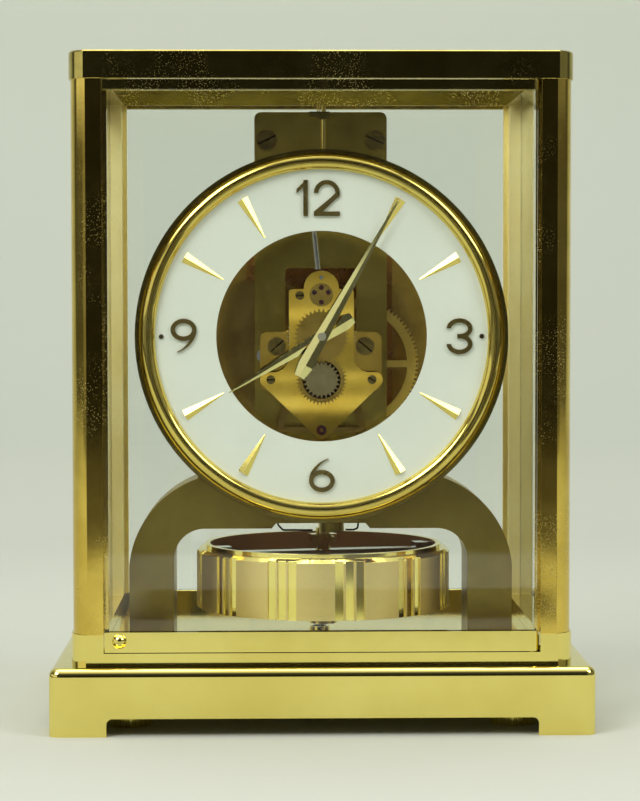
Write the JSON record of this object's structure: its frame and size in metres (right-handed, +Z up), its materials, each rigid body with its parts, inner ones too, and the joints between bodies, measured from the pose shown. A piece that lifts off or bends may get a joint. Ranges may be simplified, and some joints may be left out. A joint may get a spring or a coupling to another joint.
{
  "type": "atmospheric clock",
  "caption": "Glass-cased brass table clock wound by air temperature changes, with an open dial, a slow fluted balance on a hanging wire and a hinged front door.",
  "frame": {"origin": "on the table, under the middle of the base", "axes": "+Z up, -Y towards the viewer, +X to the viewer's right"},
  "size_m": [0.18, 0.135, 0.225],
  "materials": {
    "case_brass": "polished lacquered brass with soft age spots",
    "lid_brass": "polished brass under speckled, browned lacquer",
    "movement_brass": "fine matt gilt brass",
    "balance_brass": "grained panels between polished flutes",
    "steel": "polished steel",
    "screw_steel": "dark polished steel",
    "glass": "clear plate glass with ground edges",
    "ruby": "polished synthetic ruby",
    "dial_white": "smooth off-white enamel paint",
    "numeral_bronze": "dark bronze",
    "marker_gold": "polished facets",
    "bellows_metal": "thin rolled brass"
  },
  "bodies": {
    "case": {"base_plinth": "case_brass", "bottom_frame": "case_brass", "floor_plate": "case_brass", "post_front_left": "case_brass", "post_front_right": "case_brass", "post_rear_left": "case_brass", "post_rear_right": "case_brass", "lid_frame": "lid_brass", "top_glass": "glass", "side_glass_left": "glass", "side_glass_right": "glass", "rear_rails": "case_brass", "rear_glass": "glass", "leg_frame": "movement_brass", "wire_levers": "steel", "strap_plate": "movement_brass", "ears_plate": "movement_brass", "front_bridge": "movement_brass", "back_plate": "movement_brass", "plate_pillars": "movement_brass", "bridge_pillars": "movement_brass", "movement_screws": "screw_steel", "jewel_setting": "movement_brass", "ruby_jewels": "ruby", "barrel_arbor": "steel", "bezel": "case_brass", "dial_ring": "dial_white", "numerals": "numeral_bronze", "hour_markers": "marker_gold", "dial_screws": "screw_steel", "dial_pillars": "movement_brass", "wire_tube": "steel", "suspension_bracket": "movement_brass", "regulator_guide": "movement_brass", "bellows_drum": "movement_brass", "bellows_cover": "movement_brass", "bellows": "bellows_metal"},
    "door": {"front_top_rail": "case_brass", "front_bottom_rail": "case_brass", "front_glass": "glass"},
    "lock": {"lock_knob": "case_brass"},
    "foot_left": {"levelling_foot_left": "case_brass"},
    "foot_right": {"levelling_foot_right": "case_brass"},
    "balance": {"balance_rim": "balance_brass", "balance_arm": "steel", "balance_hub": "balance_brass", "torsion_wire": "steel"},
    "minute_train": {"centre_arbor": "movement_brass", "minute_hand": "marker_gold"},
    "hour_train": {"hour_wheel": "movement_brass", "hour_hand": "marker_gold"},
    "motion_train": {"motion_wheel": "movement_brass"},
    "lower_train": {"lower_wheel": "movement_brass"},
    "spoked_train": {"spoked_wheel": "movement_brass"},
    "barrel_train": {"barrel": "movement_brass"},
    "escape_train": {"escape_wheel": "movement_brass"},
    "fork": {"pallet_fork": "steel"},
    "regulator": {"regulator_rod": "marker_gold"},
    "bellows_end": {"pressure_plate": "bellows_metal"},
    "socket": {"guide_socket": "case_brass"}
  },
  "joints": [
    {"name": "door_swing", "type": "hinge", "parent": "case", "child": "door", "pos_m": [0.0696, -0.0574, 0.12], "axis": [0, 0, 1], "range_deg": [0, 90]},
    {"name": "lock_turn", "type": "hinge", "parent": "door", "child": "lock", "pos_m": [-0.0671, -0.0598, 0.0304], "axis": [0, 1, 0], "range_deg": [-180, 0]},
    {"name": "foot_left_screw", "type": "slide", "parent": "case", "child": "foot_left", "axis": [0, 0, -1], "range_m": [0, 0.003]},
    {"name": "foot_right_screw", "type": "slide", "parent": "case", "child": "foot_right", "axis": [0, 0, -1], "range_m": [0, 0.003]},
    {"name": "balance_swing", "type": "hinge", "parent": "case", "child": "balance", "pos_m": [0.0012, -0.011, 0.045], "axis": [0, 0, 1], "range_deg": [-270, 270]},
    {"name": "minute_turn", "type": "hinge", "parent": "case", "child": "minute_train", "pos_m": [0, -0.045, 0.131], "axis": [0, 1, 0], "continuous": true},
    {"name": "hour_turn", "type": "hinge", "parent": "case", "child": "hour_train", "pos_m": [0, -0.045, 0.131], "axis": [0, 1, 0], "continuous": true},
    {"name": "motion_turn", "type": "hinge", "parent": "case", "child": "motion_train", "pos_m": [0, -0.045, 0.1165], "axis": [0, 1, 0], "continuous": true},
    {"name": "lower_turn", "type": "hinge", "parent": "case", "child": "lower_train", "pos_m": [0, -0.045, 0.0996], "axis": [0, 1, 0], "continuous": true},
    {"name": "spoked_turn", "type": "hinge", "parent": "case", "child": "spoked_train", "pos_m": [0.0106, -0.03, 0.1214], "axis": [0, 1, 0], "continuous": true},
    {"name": "barrel_turn", "type": "hinge", "parent": "case", "child": "barrel_train", "pos_m": [-0.01926, -0.028, 0.12433], "axis": [0, 1, 0], "continuous": true},
    {"name": "escape_turn", "type": "hinge", "parent": "case", "child": "escape_train", "pos_m": [0, -0.045, 0.1448], "axis": [0, 1, 0], "continuous": true},
    {"name": "fork_swing", "type": "hinge", "parent": "case", "child": "fork", "pos_m": [0, -0.045, 0.1506], "axis": [0, 1, 0], "range_deg": [-3, 3]},
    {"name": "regulator_turn", "type": "hinge", "parent": "case", "child": "regulator", "pos_m": [0.001, -0.0395, 0.196], "axis": [0, 0, 1], "range_deg": [-170, 170]},
    {"name": "bellows_push", "type": "slide", "parent": "case", "child": "bellows_end", "axis": [0, -1, 0], "range_m": [0, 0.004]},
    {"name": "socket_lift", "type": "slide", "parent": "case", "child": "socket", "axis": [0, 0, 1], "range_m": [0, 0.001]}
  ],
  "couplings": [
    {"joint": "hour_turn", "follows": "minute_turn", "ratio": 0.083333},
    {"joint": "motion_turn", "follows": "minute_turn", "ratio": -0.125},
    {"joint": "lower_turn", "follows": "minute_turn", "ratio": 0.015625},
    {"joint": "spoked_turn", "follows": "minute_turn", "ratio": -0.0013587},
    {"joint": "barrel_turn", "follows": "minute_turn", "ratio": 0.00020903},
    {"joint": "escape_turn", "follows": "minute_turn", "ratio": -4}
  ]
}
